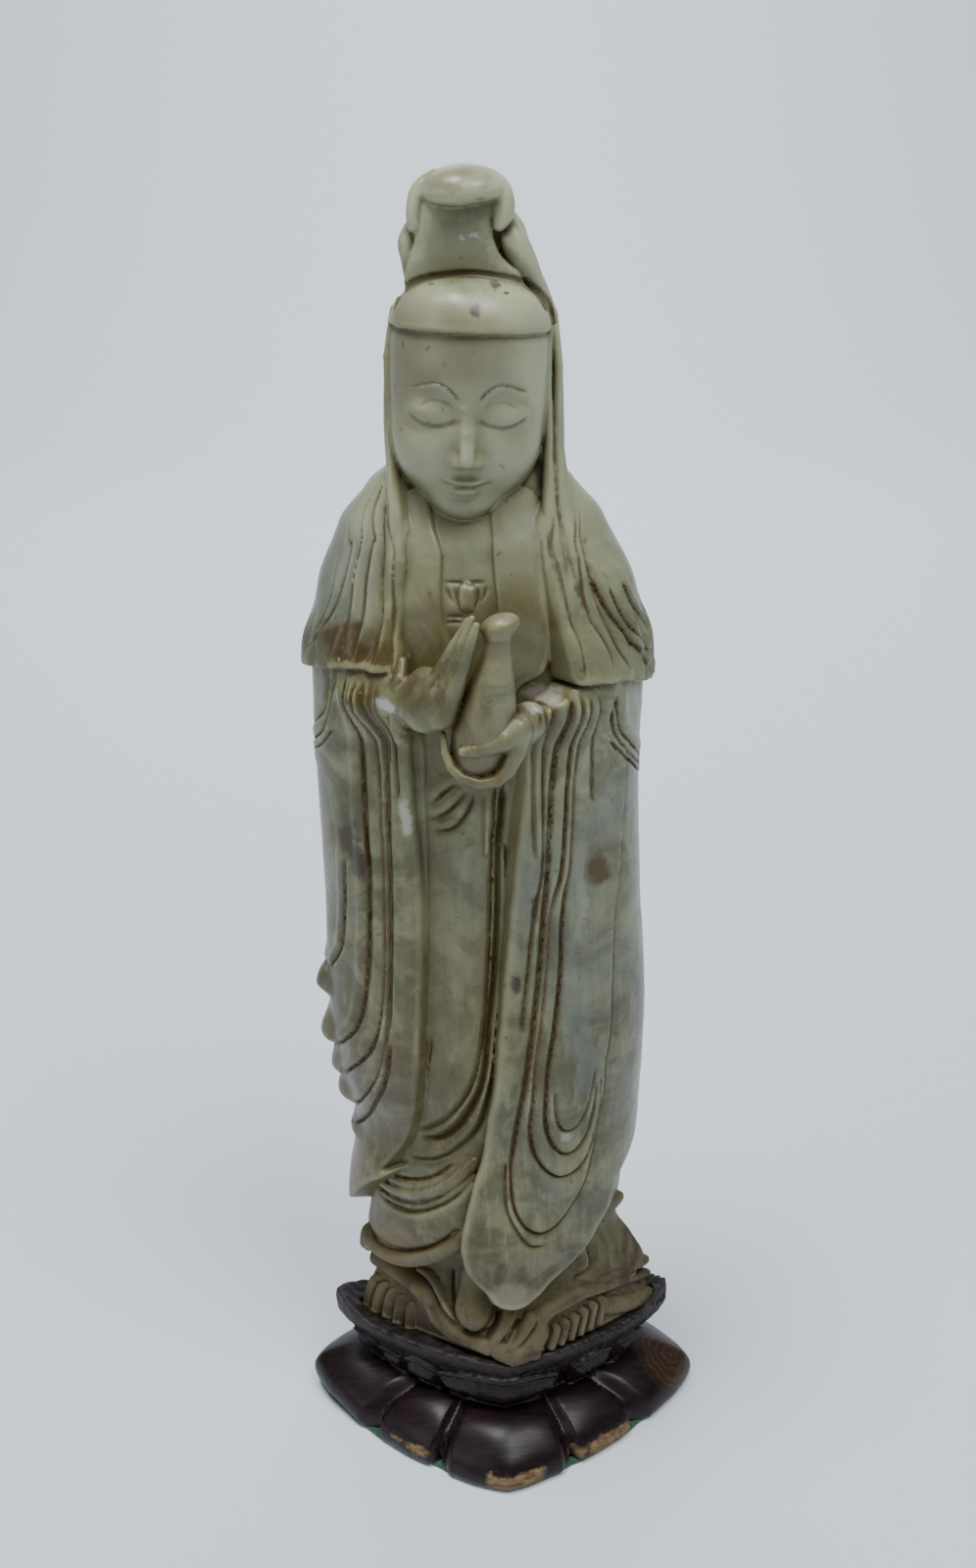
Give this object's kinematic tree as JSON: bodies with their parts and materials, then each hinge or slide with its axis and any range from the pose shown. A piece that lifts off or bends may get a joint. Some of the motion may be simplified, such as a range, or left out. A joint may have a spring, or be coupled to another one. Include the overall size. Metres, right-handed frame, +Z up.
{
  "type": "guanyin figure",
  "caption": "Standing Guanyin carved in one block of soapstone, holding a long-necked vase, on a two-tier carved wooden lotus stand.",
  "frame": {"origin": "on the ground, at the middle of the stand's underside", "axes": "+Z up, the figure looks along -Y, +X to the viewer's right"},
  "size_m": [0.1022, 0.0785, 0.3055],
  "materials": {
    "soapstone": "waxed and rubbed, dirt in the grooves",
    "hardwood": "stained dark and oiled, worn at the tips",
    "felt": "matt felt"
  },
  "bodies": {
    "root": {"guanyin_figure": "soapstone", "lotus_stand": "hardwood", "felt_pad": "felt"}
  },
  "joints": []
}
